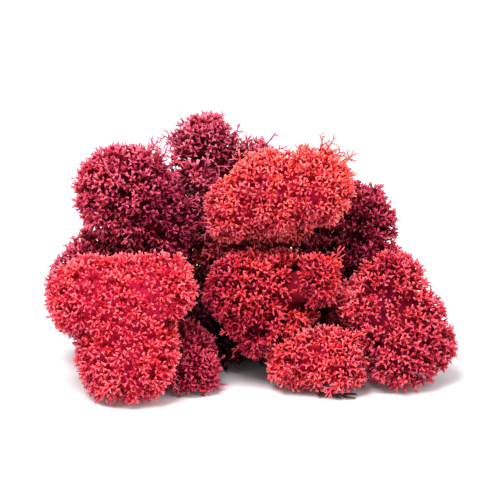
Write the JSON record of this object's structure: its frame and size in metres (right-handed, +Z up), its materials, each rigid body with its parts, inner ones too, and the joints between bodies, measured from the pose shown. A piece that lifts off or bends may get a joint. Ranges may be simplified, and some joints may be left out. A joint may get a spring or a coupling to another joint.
{
  "type": "reindeer moss clump",
  "caption": "Loose clump of preserved reindeer moss dyed coral and crimson: cushion heads of fine forked tips heaped on a flat base, with a scrap of dark stem",
  "frame": {"origin": "Middle of the clump's underside, on the surface that it rests on", "axes": "+X to the right seen from the front, +Y to the back, +Z up"},
  "size_m": [0.1376, 0.1042, 0.0834],
  "materials": {
    "front_left_moss": "matt dyed lichen, soft and dry",
    "under_left_moss": "matt dyed lichen, soft and dry",
    "upper_left_moss": "matt dyed lichen, soft and dry",
    "back_top_moss": "matt dyed lichen, soft and dry",
    "top_centre_moss": "matt dyed lichen, soft and dry",
    "right_back_moss": "matt dyed lichen, soft and dry",
    "middle_moss": "matt dyed lichen, soft and dry",
    "right_moss": "matt dyed lichen, soft and dry",
    "low_centre_moss": "matt dyed lichen, soft and dry",
    "deep_moss": "matt dyed lichen, soft and dry",
    "left_side_moss": "matt dyed lichen, soft and dry",
    "back_left_moss": "matt dyed lichen, soft and dry",
    "back_low_moss": "matt dyed lichen, soft and dry",
    "back_middle_moss": "matt dyed lichen, soft and dry",
    "back_right_moss": "matt dyed lichen, soft and dry",
    "dead_stem": "dull, dry and dark"
  },
  "bodies": {
    "root": {"front_left_head": "front_left_moss", "under_left_head": "under_left_moss", "upper_left_head": "upper_left_moss", "back_top_head": "back_top_moss", "top_centre_head": "top_centre_moss", "right_back_head": "right_back_moss", "middle_head": "middle_moss", "right_head": "right_moss", "low_centre_head": "low_centre_moss", "deep_head": "deep_moss", "left_side_head": "left_side_moss", "back_left_head": "back_left_moss", "back_low_head": "back_low_moss", "back_middle_head": "back_middle_moss", "back_right_head": "back_right_moss", "stem_scrap": "dead_stem"}
  },
  "joints": []
}
